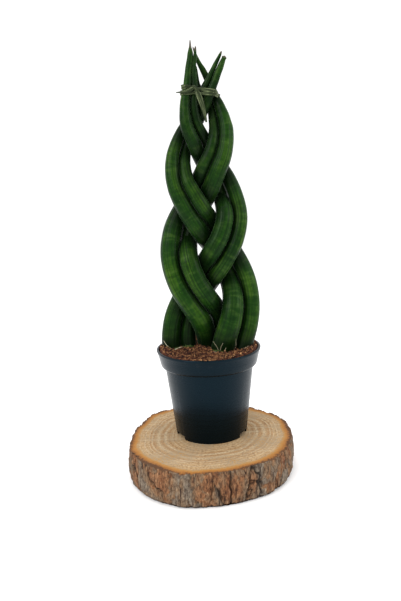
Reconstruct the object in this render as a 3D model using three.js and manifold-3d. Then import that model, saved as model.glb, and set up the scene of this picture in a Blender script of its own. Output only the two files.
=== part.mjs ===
// A braided cylindrical snake plant in its nursery pot, standing on a slice of tree trunk.
//
// Units are millimetres, +Z is up and the front of the braid faces -Y. The origin is the centre of the
// slice's flat underside, so the whole object stands on the plane z = 0.
//
// Six round leaves are plaited as a flat braid of three strands, with two leaves side by side in each
// strand. The leaves stand in sockets in the potting soil, a strip of raffia ties them near their tips,
// and the pot rests on the slice. Nothing moves.

import * as THREE from "three";
import { mergeVertices } from "three/addons/utils/BufferGeometryUtils.js";
import Module from "manifold-3d";

const wasm = await Module();
wasm.setup();

// ---------------------------------------------------------------------------------------------------
// Driving dimensions

const SLICE_THICKNESS = 38;
const SLICE_SIDES = 120;
const BARK_BULGE = 2; // how far the bark stands out at mid height
// The trunk's uneven outline, anticlockwise from +X in steps of 22.5 degrees.
const SLICE_RADII = [94, 97, 94.5, 97, 97.5, 97.5, 99, 92.5, 91.5, 96, 97.5, 97, 93, 91.5, 93.5, 93];

const POT_PLACE = { x: 1, y: 12 }; // the pot's axis, seen from the slice's centre
const POT_HEIGHT = 102.5;
const POT_RIM_RADIUS = 60;
const POT_BASE_RADIUS = 41.5;
const POT_WALL = 1.2;
const POT_SIDES = 72;
const BAND_BOTTOM = 83.5; // underside of the collar round the top of the pot
const NECK_RADIUS = 51; // the tapered body where it meets the collar
const FLOOR_HEIGHT = 4.5; // clear height under the raised floor
const NOTCH_AZIMUTHS = [-118, -62, 62, 118]; // degrees from the front
const NOTCH_WIDTH = 19;
const DRAIN_COUNT = 8;
const DRAIN_RADIUS = 4;
const DRAIN_CIRCLE_RADIUS = 27;

const SOIL_HEIGHT = 101.5;
const SOIL_CROWN = 2; // how much higher it lies in the middle
const SOIL_HEAP = 4.5; // and against the rim, left and right
const SEAT_GAP = 0.3; // left between pieces that touch
const SOCKET_GAP = 0.45; // left round a leaf in the soil

const LEAF_SIDES = 12;
const LEAF_STEPS = 56;
const LEAF_GAP = 0.7; // kept between the two leaves of a strand
const CROSSING_GAP = 1.3; // kept where strands cross
const SAMPLES = 140; // points along a leaf while the braid settles
const SETTLING_ROUNDS = 900;
const TIE_HEIGHT = 382; // above the pot's base

// Each strand's middle line, where its two leaves touch, as [x, z] from the tie down to the roots, one row
// per bulge of the braid. Above the tie each leaf goes its own way: its crown gives the middle of the leaf
// itself, from the tip down. A girth row is [height, radius]. Heights are above the pot's base.
const STRANDS = [
  {
    name: "first_strand",
    rootDepth: 4,
    line: [
      [-7.6, 384], [-9, 365], [-7, 349], [-0.5, 334], [7, 317],
      [16, 302], [24.5, 286], [30.5, 268], [32.5, 248], [27.5, 228], [17, 209], [4.5, 190],
      [-8, 171], [-20.5, 152], [-29, 133], [-32.5, 114], [-32.3, 100], [-31.5, 87],
    ],
    leaves: [
      {
        side: -1,
        crown: [[-6, 434], [-6.1, 430], [-6.3, 425], [-6.4, 420], [-7, 414.5], [-8, 409.5], [-8.9, 404.5],
          [-10.1, 394.5], [-11.2, 386]],
        girth: [[434, 0.35], [430, 0.5], [426, 0.8], [424, 1.4], [420, 2.5], [414, 2.85], [404, 3.1],
          [394, 3.7], [389, 4], [364, 5.3], [343, 6.7], [300, 7.8], [254, 8.7], [230, 9.6], [190, 9.8],
          [120, 10.3], [84, 10.6]],
      },
      {
        side: 1,
        crown: [[-0.6, 427.5], [-0.9, 424], [-1.5, 419], [-2, 414], [-2.7, 409.5], [-3.3, 404.5],
          [-3.4, 394.5], [-3.5, 386]],
        girth: [[427.5, 0.5], [424, 1.1], [419, 1.3], [414.5, 1.65], [409.5, 1.8], [404.5, 2.1],
          [394.5, 2.6], [389.5, 2.9], [364, 3.9], [343, 4.9], [310, 6.6], [280, 7.3], [240, 7.8],
          [200, 8.6], [84, 9]],
      },
    ],
  },
  {
    name: "second_strand",
    rootDepth: -12,
    line: [
      [10.5, 386], [6, 376.5], [-0.5, 364],
      [-8.6, 350], [-17.2, 335.5], [-23.2, 318], [-24, 302], [-21, 286], [-14.5, 271.5], [-5.5, 255.5],
      [5.5, 238.5], [16.5, 223], [26.5, 205.5], [35, 188], [40, 170.5], [41, 150], [38, 131], [32, 112],
      [27.5, 97], [26, 87],
    ],
    leaves: [
      {
        side: -1,
        crown: [[26.7, 422.3], [25.5, 419.7], [22.2, 413.9], [18.8, 408], [14.6, 400.2], [10.7, 393.7],
          [6.6, 386.9]],
        girth: [[422.3, 0.8], [419.7, 1.2], [414, 1.75], [408, 2.1], [400, 2.65], [393.7, 3.05],
          [386, 3.5], [334, 5.6], [303, 7.2], [271, 8.6], [243, 9.6], [215, 10], [157, 11.2],
          [133, 12.2], [84, 12.8]],
      },
      {
        side: 1,
        crown: [[29.9, 416.9], [27.7, 412.7], [26.1, 408.7], [23.7, 403.8], [21.5, 398.9], [19.3, 393.2],
          [15.7, 385.3]],
        girth: [[416.9, 2.1], [412.7, 2.35], [408.7, 2.8], [403.8, 3.15], [398.9, 3.4], [393.2, 3.6],
          [386, 4], [376, 4.6], [340, 5.4], [313, 6], [291, 6.6], [270, 7.5], [225, 8.3], [180, 8.9],
          [110, 9.6], [84, 9.8]],
      },
    ],
  },
  {
    name: "third_strand",
    rootDepth: 11,
    line: [
      [10.5, 384], [16, 370], [19.5, 354], [20, 336], [16, 318], [9, 303],
      [1.5, 286], [-7.5, 270], [-17.3, 253], [-25, 235], [-28.2, 215], [-26.3, 198], [-20, 179],
      [-9.5, 160], [2, 141], [9, 120], [12, 101], [13, 87],
    ],
    leaves: [
      {
        side: -1,
        crown: [[-0.9, 411], [-0.6, 401], [-0.1, 394], [1.8, 387.5], [5.4, 381], [9.3, 375],
          [12, 367.5], [14.2, 358.5]],
        girth: [[411, 0.6], [406, 1.5], [392, 2.5], [358, 4.1], [311, 6.2], [270, 8.3], [240, 9.7],
          [212, 10.3], [159, 10.7], [135, 11.3], [84, 11.5]],
      },
      {
        side: 1,
        crown: [[-3.7, 429.7], [-2.3, 427.5], [-1.1, 421.5], [0.4, 417.4], [2.1, 413.3], [4.3, 409.3],
          [6.6, 405], [11.2, 395], [14.8, 386.8]],
        girth: [[429.7, 0.45], [427.5, 0.55], [421.5, 1.2], [417.4, 1.65], [413.3, 2.1], [409.3, 2.5],
          [405, 2.9], [391, 3.7], [364, 5.7], [343, 7.6], [320, 8.4], [300, 9.1], [222, 9.8],
          [190, 10.1], [84, 10.8]],
      },
    ],
  },
];
// Which strand lies in front where two meet: [front, back]. Above the tie the first strand comes to the fore.
const OVER = [
  ["second_strand", "third_strand"],
  ["first_strand", "second_strand"],
  ["third_strand", "first_strand"],
];

// ---------------------------------------------------------------------------------------------------
// Small helpers

const radians = (degrees) => (degrees * Math.PI) / 180;

function standing(geometry) {
  // Turns a shape that three.js made about Y so that it stands up +Z.
  return geometry.rotateX(Math.PI / 2);
}

function lathe(profile, sides) {
  return standing(new THREE.LatheGeometry(profile.map(([r, z]) => new THREE.Vector2(r, z)), sides));
}

function solidOf(geometry) {
  const bare = geometry.clone();
  bare.deleteAttribute("normal");
  bare.deleteAttribute("uv");
  const merged = mergeVertices(bare, 1e-3);
  return new wasm.Manifold(
    new wasm.Mesh({
      numProp: 3,
      vertProperties: new Float32Array(merged.getAttribute("position").array),
      triVerts: new Uint32Array(merged.index.array),
    }),
  );
}

function geometryOf(solid) {
  const mesh = solid.getMesh();
  const geometry = new THREE.BufferGeometry();
  geometry.setAttribute("position", new THREE.BufferAttribute(new Float32Array(mesh.vertProperties), 3));
  geometry.setIndex(new THREE.BufferAttribute(new Uint32Array(mesh.triVerts), 1));
  return geometry;
}

function named(name, geometry, material) {
  const mesh = new THREE.Mesh(geometry, material);
  mesh.name = name;
  return mesh;
}

const materials = {
  leaf: new THREE.MeshStandardMaterial({ color: 0x1f3d17, roughness: 0.55, metalness: 0 }),
  raffia: new THREE.MeshStandardMaterial({ color: 0x8a8a5c, roughness: 0.8, metalness: 0 }),
  soil: new THREE.MeshStandardMaterial({ color: 0x6e3c22, roughness: 1, metalness: 0 }),
  pot: new THREE.MeshStandardMaterial({ color: 0x1c262b, roughness: 0.45, metalness: 0 }),
  wood: new THREE.MeshStandardMaterial({ color: 0xb98f62, roughness: 0.85, metalness: 0 }),
};

// ---------------------------------------------------------------------------------------------------
// Trunk slice: an uneven round outline with the bark bulging a little between two flat sawn faces

function sliceOutline(azimuth) {
  const turn = azimuth / (2 * Math.PI);
  const place = (turn - Math.floor(turn)) * SLICE_RADII.length;
  const [i, share] = [Math.floor(place), place % 1];
  const radius = (k) => SLICE_RADII[(i + k) % SLICE_RADII.length];
  return radius(0) + (radius(1) - radius(0)) * (0.5 - 0.5 * Math.cos(Math.PI * share));
}

function makeSlice() {
  const levels = [
    { z: 0, out: -0.8 },
    { z: SLICE_THICKNESS * 0.12, out: 1 },
    { z: SLICE_THICKNESS * 0.5, out: BARK_BULGE },
    { z: SLICE_THICKNESS * 0.88, out: 1 },
    { z: SLICE_THICKNESS, out: 0 },
  ];
  const profile = [[0, 0], ...levels.map(({ z }) => [1, z]), [0, SLICE_THICKNESS]];
  const geometry = lathe(profile, SLICE_SIDES);
  const position = geometry.getAttribute("position");
  for (let i = 0; i < position.count; i++) {
    const level = levels.find(({ z }) => Math.abs(z - position.getZ(i)) < 1e-3);
    const reach = Math.hypot(position.getX(i), position.getY(i));
    if (reach < 0.5) continue;
    const azimuth = Math.atan2(position.getY(i), position.getX(i));
    const radius = sliceOutline(azimuth) + level.out;
    position.setXY(i, radius * Math.cos(azimuth), radius * Math.sin(azimuth));
  }
  // The uneven outline is shifted so that its box is centred on the origin.
  geometry.computeBoundingBox();
  const middle = geometry.boundingBox.getCenter(new THREE.Vector3());
  return geometry.translate(-middle.x, -middle.y, 0);
}

// ---------------------------------------------------------------------------------------------------
// Nursery pot: one moulded shell with a collar, a raised floor, drain holes and four notches in its foot

const bodyRadius = (z) => POT_BASE_RADIUS + ((NECK_RADIUS - POT_BASE_RADIUS) * z) / BAND_BOTTOM;

function makePot() {
  const floorTop = FLOOR_HEIGHT + POT_WALL;
  const profile = [
    [0, FLOOR_HEIGHT],
    [bodyRadius(FLOOR_HEIGHT) - POT_WALL, FLOOR_HEIGHT],
    [bodyRadius(0) - POT_WALL, 0],
    [bodyRadius(0), 0],
    [NECK_RADIUS, BAND_BOTTOM - 1.5],
    [55.3, BAND_BOTTOM + 0.3],
    [55.8, BAND_BOTTOM + 1.5],
    [56.7, POT_HEIGHT - 11.5],
    [58.9, POT_HEIGHT - 4.5],
    [59.7, POT_HEIGHT - 2.7],
    [POT_RIM_RADIUS, POT_HEIGHT - 1.6],
    [POT_RIM_RADIUS, POT_HEIGHT - 0.7],
    [POT_RIM_RADIUS - 0.6, POT_HEIGHT],
    [POT_RIM_RADIUS - 2.2, POT_HEIGHT],
    [56.6, POT_HEIGHT - 5],
    [54.6, BAND_BOTTOM + 2],
    [bodyRadius(BAND_BOTTOM) - POT_WALL, BAND_BOTTOM],
    [bodyRadius(floorTop) - POT_WALL, floorTop],
    [0, floorTop],
  ];
  let shell = solidOf(lathe(profile, POT_SIDES));
  for (const azimuth of NOTCH_AZIMUTHS) {
    const notch = new THREE.BoxGeometry(NOTCH_WIDTH, 16, 2 * (FLOOR_HEIGHT - 0.3));
    notch.translate(0, -POT_BASE_RADIUS, 0).rotateZ(radians(azimuth));
    shell = shell.subtract(solidOf(notch));
  }
  for (let i = 0; i < DRAIN_COUNT; i++) {
    const drain = standing(new THREE.CylinderGeometry(DRAIN_RADIUS, DRAIN_RADIUS, 3 * POT_WALL, 16));
    drain.translate(DRAIN_CIRCLE_RADIUS, 0, floorTop - POT_WALL / 2).rotateZ((i * 2 * Math.PI) / DRAIN_COUNT);
    shell = shell.subtract(solidOf(drain));
  }
  return geometryOf(shell);
}

// ---------------------------------------------------------------------------------------------------
// Leaves

function girthAt({ girth }, height) {
  const below = girth.findIndex(([z]) => z < height);
  if (below === 0) return girth[0][1];
  if (below < 0) return girth.at(-1)[1];
  const [[zUpper, upper], [zLower, lower]] = [girth[below - 1], girth[below]];
  return lower + ((upper - lower) * (height - zLower)) / (zUpper - zLower);
}

const curveThrough = (points) => new THREE.CatmullRomCurve3(points, false, "centripetal");

// A leaf seen from the front: its crown first, then beside its strand's middle line, its radius away from it.
function flatLeaf(strand, leaf) {
  const line = curveThrough(strand.line.map(([x, z]) => new THREE.Vector3(x, 0, z)));
  const points = leaf.crown.map(([x, z]) => new THREE.Vector3(x, 0, z));
  const crownEnd = leaf.crown.at(-1)[1] - 7;
  for (let i = 0; i <= 60; i++) {
    const middle = line.getPointAt(i / 60);
    const along = line.getTangentAt(i / 60);
    const aside = leaf.side * (girthAt(leaf, middle.z) + LEAF_GAP / 2);
    const beside = new THREE.Vector3(middle.x - along.z * aside, 0, middle.z + along.x * aside);
    if (beside.z < crownEnd) points.push(beside);
  }
  const samples = curveThrough(points).getSpacedPoints(SAMPLES - 1);
  return {
    name: `${strand.name}_${leaf.side < 0 ? "left" : "right"}_leaf`,
    strand,
    samples: samples.map(({ x, z }) => ({ x, y: 0, z, radius: girthAt(leaf, z) })),
  };
}

// True if strand a lies in front of strand b at a height, false if behind.
function liesInFront(a, b, height) {
  const pair = OVER.find((names) => names.includes(a.name) && names.includes(b.name));
  const frontmost = pair[0] === "third_strand" && height > TIE_HEIGHT - 30 ? pair[1] : pair[0];
  return frontmost === a.name;
}

// The leaves press on one another wherever they cross. Their depths settle by turns: each crossing pair is
// pushed apart until the two clear each other, and each leaf is eased so that it bends gently.
function settle(leaves) {
  const contacts = [];
  leaves.forEach((a, i) => {
    leaves.slice(i + 1).forEach((b) => {
      if (a.strand === b.strand) return;
      for (const p of a.samples) {
        for (const q of b.samples) {
          const reach = p.radius + q.radius + CROSSING_GAP;
          const apart = Math.hypot(p.x - q.x, p.z - q.z);
          if (apart >= reach) continue;
          const need = Math.sqrt(reach * reach - apart * apart);
          const front = liesInFront(a.strand, b.strand, (p.z + q.z) / 2);
          contacts.push(front ? { front: p, back: q, need } : { front: q, back: p, need });
        }
      }
    });
  });
  for (let round = 0; round < SETTLING_ROUNDS; round++) {
    const passes = round < SETTLING_ROUNDS / 2 ? 4 : 1;
    for (const { samples, strand } of leaves) {
      for (let pass = 0; pass < passes; pass++) {
        const before = samples.map(({ y }) => y);
        for (let i = 1; i < SAMPLES - 1; i++) {
          samples[i].y += 0.25 * (before[i - 1] - 2 * before[i] + before[i + 1]);
        }
        samples[0].y += 0.25 * (before[1] - before[0]);
        samples[SAMPLES - 1].y += 0.1 * (strand.rootDepth - before[SAMPLES - 1]);
      }
    }
    for (const { front, back, need } of contacts) {
      const missing = need - (back.y - front.y);
      if (missing <= 0) continue;
      front.y -= 0.25 * missing;
      back.y += 0.25 * missing;
    }
  }
}

// A tapering round tube: a lathed leaf, straight at first, whose rings are then set along the leaf's middle.
function leafTube({ samples }, inflate, sides, steps) {
  const middle = new THREE.CatmullRomCurve3(samples.map(({ x, y, z }) => new THREE.Vector3(x, y, z)));
  const profile = [new THREE.Vector2(0, 0)];
  for (let i = 0; i <= steps; i++) {
    const sample = samples[Math.round((i / steps) * (samples.length - 1))];
    profile.push(new THREE.Vector2(sample.radius + inflate, i / steps));
  }
  profile.push(new THREE.Vector2(0, 1));
  const tube = new THREE.LatheGeometry(profile, sides);
  const position = tube.getAttribute("position");
  const depth = new THREE.Vector3(0, 1, 0);
  for (let i = 0; i < position.count; i++) {
    const u = position.getY(i);
    const along = middle.getTangent(u);
    const across = new THREE.Vector3().crossVectors(depth, along).normalize();
    const through = new THREE.Vector3().crossVectors(along, across);
    const point = middle.getPoint(u).addScaledVector(along, u === 1 ? inflate : 0);
    point.addScaledVector(across, position.getX(i)).addScaledVector(through, position.getZ(i));
    position.setXYZ(i, point.x, point.y, point.z);
  }
  return outward(tube);
}

// The solid of a shape whose triangles may all face inwards.
function outward(geometry) {
  const solid = solidOf(geometry);
  return solid.volume() < 0 ? solidOf(flipped(geometry)) : solid;
}

function flipped(geometry) {
  const index = geometry.index.array;
  for (let i = 0; i < index.length; i += 3) [index[i + 1], index[i + 2]] = [index[i + 2], index[i + 1]];
  return geometry;
}

// ---------------------------------------------------------------------------------------------------
// Potting soil: fills the pot from its floor to a low crown, with a socket round each leaf

function makeSoil(leaves) {
  const wall = (z) => bodyRadius(z) - POT_WALL - SEAT_GAP;
  const floor = FLOOR_HEIGHT + POT_WALL + SEAT_GAP;
  const profile = [
    [0, floor],
    [wall(floor), floor],
    [wall(BAND_BOTTOM), BAND_BOTTOM + 0.2],
    [54.2, BAND_BOTTOM + 2.7],
    [56, SOIL_HEIGHT - 3],
    [56, SOIL_HEIGHT - 1],
    [52, SOIL_HEIGHT],
    [42, SOIL_HEIGHT],
    [22, SOIL_HEIGHT],
    [0, SOIL_HEIGHT],
  ];
  const shape = lathe(profile, POT_SIDES);
  const position = shape.getAttribute("position");
  for (let i = 0; i < position.count; i++) {
    const [x, y, z] = [position.getX(i), position.getY(i), position.getZ(i)];
    const reach = Math.max(0.1, Math.hypot(x, y));
    if (z < SOIL_HEIGHT - 1.5) continue;
    const crown = SOIL_CROWN * Math.max(0, 1 - (reach / 45) ** 2);
    const heap = SOIL_HEAP * Math.max(0, 1 - Math.abs(reach - 52) / 12) * (x / reach) ** 2;
    position.setZ(i, z + crown + heap);
  }
  let soil = solidOf(shape);
  for (const leaf of leaves) soil = soil.subtract(leafTube(leaf, SOCKET_GAP, LEAF_SIDES, LEAF_STEPS));
  return geometryOf(soil);
}

// ---------------------------------------------------------------------------------------------------
// Raffia tie: a flat strip round all the leaves, with a knot in front and two loose ends

const TIE_THICKNESS = 0.8;
const TIE_CLEARANCE = 1.1; // between the strip and the leaves it holds
const TIE_SLOPE = -0.12; // the strip slopes down to the right
const KNOT = { x: -2, z: TIE_HEIGHT + 0.8, width: 8, depth: 3.6, height: 6.5 };

// The strip is wound twice on the left and once on the right, so it is taller on the left.
const tieHalfHeight = (x) => 2.9 + 1.7 * Math.min(1, Math.max(0, (20 - x) / 36));
const tieEdge = (x, edge) => TIE_HEIGHT + TIE_SLOPE * x + edge * tieHalfHeight(x);

// The outline round the leaves' sections at the strip's lower edge (edge = -1) or upper edge (edge = 1).
function tieOutline(leaves, edge, offset) {
  const sections = leaves
    .map(({ samples }) => samples.find(({ x, z }) => z < tieEdge(x, edge)))
    .filter((section) => section.radius > 1);
  const outline = [];
  for (let degrees = 0; degrees < 360; degrees += 7.5) {
    const out = new THREE.Vector2(Math.cos(radians(degrees)), Math.sin(radians(degrees)));
    const reach = ({ x, y, radius }) => x * out.x + y * out.y + radius * 1.05;
    const outermost = sections.reduce((best, s) => (reach(s) > reach(best) ? s : best));
    const centre = new THREE.Vector2(outermost.x, outermost.y);
    outline.push(centre.addScaledVector(out, outermost.radius * 1.05 + offset));
  }
  return outline;
}

// An upright band between an inner and an outer outline, both of which change from its foot to its head.
function makeBand(leaves) {
  const offsets = [TIE_CLEARANCE, TIE_CLEARANCE + TIE_THICKNESS];
  const feet = offsets.map((offset) => tieOutline(leaves, -1, offset));
  const heads = offsets.map((offset) => tieOutline(leaves, 1, offset));
  const shape = new THREE.Shape(feet[1]);
  shape.holes.push(new THREE.Path(feet[0]));
  const band = new THREE.ExtrudeGeometry(shape, { depth: 1, bevelEnabled: false });
  const position = band.getAttribute("position");
  for (let i = 0; i < position.count; i++) {
    const at = new THREE.Vector2(position.getX(i), position.getY(i));
    const side = feet[0].some((p) => p.distanceTo(at) < 1e-3) ? 0 : 1;
    const atHead = position.getZ(i) > 0.5;
    if (atHead) at.copy(heads[side][feet[side].findIndex((p) => p.distanceTo(at) < 1e-3)]);
    position.setXYZ(i, at.x, at.y, tieEdge(at.x, atHead ? 1 : -1));
  }
  return solidOf(band);
}

function strip(points, width, thickness, facing) {
  const path = new THREE.CatmullRomCurve3(points.map((p) => new THREE.Vector3(...p)));
  const steps = 12;
  const profile = new THREE.BoxGeometry(width, 1, thickness, 1, steps, 1);
  const position = profile.getAttribute("position");
  for (let i = 0; i < position.count; i++) {
    const u = position.getY(i) + 0.5;
    const along = path.getTangentAt(u);
    const across = new THREE.Vector3().crossVectors(along, new THREE.Vector3(...facing)).normalize();
    const out = new THREE.Vector3().crossVectors(across, along);
    const point = path.getPointAt(u);
    const narrowing = 1 - 0.55 * u ** 3;
    point.addScaledVector(across, position.getX(i) * narrowing).addScaledVector(out, position.getZ(i));
    position.setXYZ(i, point.x, point.y, point.z);
  }
  return outward(profile);
}

function makeTie(leaves) {
  const front = Math.min(...tieOutline(leaves, 0, TIE_CLEARANCE).map(({ y }) => y));
  const knot = new THREE.SphereGeometry(0.5, 14, 8).scale(KNOT.width, KNOT.depth, KNOT.height);
  knot.translate(KNOT.x, front - KNOT.depth / 2 + 0.1, KNOT.z);
  const ahead = front - 1.4;
  const long = strip(
    [[-0.5, ahead, 381], [1.8, ahead - 1, 373], [4.4, ahead - 1.2, 361], [6.4, ahead - 0.5, 348.5]],
    5.4, TIE_THICKNESS, [0, -1, 0],
  );
  const short = strip(
    [[-3, ahead, 382.5], [-9, ahead - 0.4, 382], [-16, ahead + 0.8, 381], [-23, ahead + 2.5, 381]],
    3.6, TIE_THICKNESS, [0, -1, 0],
  );
  return geometryOf(makeBand(leaves).add(solidOf(knot)).add(long).add(short));
}

// ---------------------------------------------------------------------------------------------------
// Assembly

const leaves = STRANDS.flatMap((strand) => strand.leaves.map((leaf) => flatLeaf(strand, leaf)));
settle(leaves);

const object = new THREE.Group();
object.add(named("wood_slice", makeSlice(), materials.wood));

const pottedPlant = new THREE.Group();
pottedPlant.position.set(POT_PLACE.x, POT_PLACE.y, SLICE_THICKNESS);
pottedPlant.add(named("nursery_pot", makePot(), materials.pot));
pottedPlant.add(named("potting_soil", makeSoil(leaves), materials.soil));
for (const leaf of leaves) {
  pottedPlant.add(named(leaf.name, geometryOf(leafTube(leaf, 0, LEAF_SIDES, LEAF_STEPS)), materials.leaf));
}
pottedPlant.add(named("raffia_tie", makeTie(leaves), materials.raffia));
object.add(pottedPlant);

export default object;
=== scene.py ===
# %% [markdown]
# # A braided snake plant in its nursery pot, on a slice of tree trunk
#
# Six round leaves of a cylindrical snake plant are plaited as a flat braid of three strands. They grow
# out of a moulded plastic pot full of peat and coir, and the pot stands on a sawn slice of trunk with
# the bark left on. Each of these is a piece of its own here, made at its true size in metres.
#
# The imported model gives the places: where each leaf runs, where the pot stands and how the slice is
# outlined. We load it first and build every visible piece around it.

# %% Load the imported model
import math
import random

import bmesh
import bpy
from mathutils import Matrix, Vector, kdtree, noise


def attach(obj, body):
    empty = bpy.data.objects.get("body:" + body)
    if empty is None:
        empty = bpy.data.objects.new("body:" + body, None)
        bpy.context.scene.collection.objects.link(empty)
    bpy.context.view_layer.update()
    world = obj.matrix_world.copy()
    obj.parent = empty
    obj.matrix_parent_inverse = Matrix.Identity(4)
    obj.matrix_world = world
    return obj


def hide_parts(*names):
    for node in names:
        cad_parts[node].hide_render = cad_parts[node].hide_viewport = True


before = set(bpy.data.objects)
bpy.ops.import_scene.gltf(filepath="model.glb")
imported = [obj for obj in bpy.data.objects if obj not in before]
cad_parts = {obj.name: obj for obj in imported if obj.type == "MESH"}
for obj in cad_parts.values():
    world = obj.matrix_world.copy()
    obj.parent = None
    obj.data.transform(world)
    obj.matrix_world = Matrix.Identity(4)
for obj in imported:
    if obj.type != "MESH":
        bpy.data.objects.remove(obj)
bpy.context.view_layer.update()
MM = 0.001

# %% [markdown]
# ## The camera
#
# A camera can be aimed with a Track To constraint, or given its turn directly. The direct way is steadier
# here: the camera stands a little over half a metre away, looks down by 11 degrees and leans by 2.5
# degrees, so two rotations say it all. Blender's lens number goes with a sensor 36 mm long.

# %% Stand the camera
CAMERA_PLACE = Vector((-5.9, -622.3, 318.3)) * MM
CAMERA_DIP = 0.1927
CAMERA_LEAN = 0.0435

camera = bpy.data.objects.new("camera", bpy.data.cameras.new("camera"))
camera.data.sensor_width = 36
camera.data.lens = 33.97
camera.data.clip_start = 0.01
camera.matrix_world = (
    Matrix.Translation(CAMERA_PLACE)
    @ Matrix.Rotation(math.pi / 2 - CAMERA_DIP, 4, "X")
    @ Matrix.Rotation(-CAMERA_LEAN, 4, "Z")
)
bpy.context.collection.objects.link(camera)
bpy.context.scene.camera = camera
bpy.context.scene.view_settings.view_transform = "Standard"
print("the camera stands at", [round(c, 3) for c in camera.location])

# %% [markdown]
# ## Recipes for finishes
#
# A material is a small web of nodes. Writing each node and each wire in full hides the idea, so a short
# recipe class adds a node, feeds its sockets and hands back its output. Colours are written as the red,
# green and blue of a paint chart, 0 to 255, and turned into the linear values that light works with.

# %% Recipe helpers
def paint(red, green, blue):
    """A paint chart's colour in linear values, with full cover."""
    shares = [value / 255 for value in (red, green, blue)]
    return (*(c / 12.92 if c <= 0.04 else ((c + 0.055) / 1.055) ** 2.4 for c in shares), 1.0)


class Finish:
    """A material with one Principled shader, built up node by node."""

    def __init__(self, name, roughness, **constants):
        self.material = bpy.data.materials.new(name)
        self.material.use_nodes = True
        self.nodes = self.material.node_tree.nodes
        self.links = self.material.node_tree.links
        self.shader = self.nodes["Principled BSDF"]
        self.shader.inputs["Roughness"].default_value = roughness
        for socket, value in constants.items():
            self.shader.inputs[socket.replace("_", " ")].default_value = value

    def feed(self, socket, value):
        if isinstance(value, bpy.types.NodeSocket):
            self.links.new(value, socket)
        else:
            socket.default_value = value

    def add(self, kind, output=0, settings=None, **inputs):
        node = self.nodes.new("ShaderNode" + kind)
        for key, value in (settings or {}).items():
            setattr(node, key, value)
        for key, value in inputs.items():
            # A socket is named, or given as i and its number where several share a name
            self.feed(node.inputs[int(key[1:]) if key[1:].isdigit() else key], value)
        return node.outputs[output]

    def place(self, stretch=(1, 1, 1), shift=(0, 0, 0), source=None):
        """Where a point lies on the piece, stretched before a pattern reads it."""
        if source is None:
            source = self.add("TexCoord", "Object")
        return self.add("Mapping", Vector=source, Location=shift, Scale=stretch)

    def attribute(self, name, output="Fac"):
        return self.add("Attribute", output, {"attribute_name": name})

    def speckle(self, where, scale, detail=3.0, roughness=0.5, distortion=0.0):
        return self.add("TexNoise", "Fac", Vector=where, Scale=scale, Detail=detail,
                        Roughness=roughness, Distortion=distortion)

    def ramp(self, amount, *stops):
        """Colours, or plain amounts, that follow each other as a pattern rises."""
        node = self.nodes.new("ShaderNodeValToRGB")
        ramp = node.color_ramp
        while len(ramp.elements) < len(stops):
            ramp.elements.new(0.5)
        for element, (position, colour) in zip(ramp.elements, stops):
            element.position = position
            element.color = colour if isinstance(colour, tuple) else (colour, colour, colour, 1)
        self.feed(node.inputs["Fac"], amount)
        return node.outputs["Color"]

    def sums(self, operation, first, second):
        return self.add("Math", settings={"operation": operation}, i0=first, i1=second)

    def swing(self, value, middle, times):
        """How far a value is from its middle, so many times over."""
        return self.sums("MULTIPLY", self.sums("SUBTRACT", value, middle), times)

    def rise(self, value, low, high):
        """0 up to low, 1 from high on, and an even rise between them."""
        return self.add("MapRange", i0=value, i1=low, i2=high)

    def blend(self, amount, under, over):
        return self.add("Mix", 2, {"data_type": "RGBA"}, i0=amount, i6=under, i7=over)

    def layer(self, under, over, pattern, *stops):
        """A colour laid over another as far as a pattern's ramp lets it through."""
        return self.blend(self.ramp(pattern, *stops), under, over)

    def noted(self, under, over, name, most):
        """A colour laid over another by a note that the vertices keep, and at most so far."""
        return self.blend(self.sums("MULTIPLY", self.attribute(name), most), under, over)

    def colour(self, value):
        self.feed(self.shader.inputs["Base Color"], value)

    def gloss(self, value):
        self.feed(self.shader.inputs["Roughness"], value)

    def relief(self, height, strength, depth_mm):
        normal = self.add("Bump", Strength=strength, Distance=depth_mm * MM, Height=height)
        self.feed(self.shader.inputs["Normal"], normal)


print("recipes ready")

# %% [markdown]
# ## Pieces and sweeps
#
# Leaves, fibres and raffia are all the same idea: a cross-section that travels along a line. Blender can
# do this with a bevelled curve, but then there is little say over the section's size and turn. So the
# section is extruded once into a straight tube or strip, its rising edges are cut into as many spans as
# the line has, and each ring is then set in its place with a matrix. On the way each vertex can keep
# notes for the material, such as how far along the leaf it lies.

# %% Helpers for pieces
def finished(name, bm, finish, node, smooth=True):
    """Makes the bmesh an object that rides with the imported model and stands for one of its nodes."""
    mesh = bpy.data.meshes.new(name)
    for face in bm.faces:
        face.smooth = smooth
    bm.to_mesh(mesh)
    bm.free()
    piece = bpy.data.objects.new(name, mesh)
    bpy.context.collection.objects.link(piece)
    mesh.materials.append(finish.material)
    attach(piece, "root")
    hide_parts(node)
    print(name, "has", sum(len(p.vertices) - 2 for p in mesh.polygons), "triangles")
    return piece


def along_line(points, parts):
    """A smooth line through the points, with so many parts in each span."""
    ends = [2 * points[0] - points[1], *points, 2 * points[-1] - points[-2]]
    line = []
    for a, b, c, d in zip(ends, ends[1:], ends[2:], ends[3:]):
        for i in range(parts):
            t = i / parts
            line.append(0.5 * (2 * b + (c - a) * t + (2 * a - 5 * b + 4 * c - d) * t**2
                               + (3 * b - a - 3 * c + d) * t**3))
    return [*line, points[-1]]


def travelling(line, first_side):
    """One turn matrix for each point of a line: Z runs along it, and X turns as little as it can."""
    turns, side = [], Vector(first_side)
    for before, after in zip([line[0], *line[:-1]], [*line[1:], line[-1]]):
        ahead = (after - before).normalized()
        side = (side - ahead * side.dot(ahead)).normalized()
        turns.append(Matrix((side, ahead.cross(side), ahead)).transposed().to_4x4())
    return turns


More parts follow.
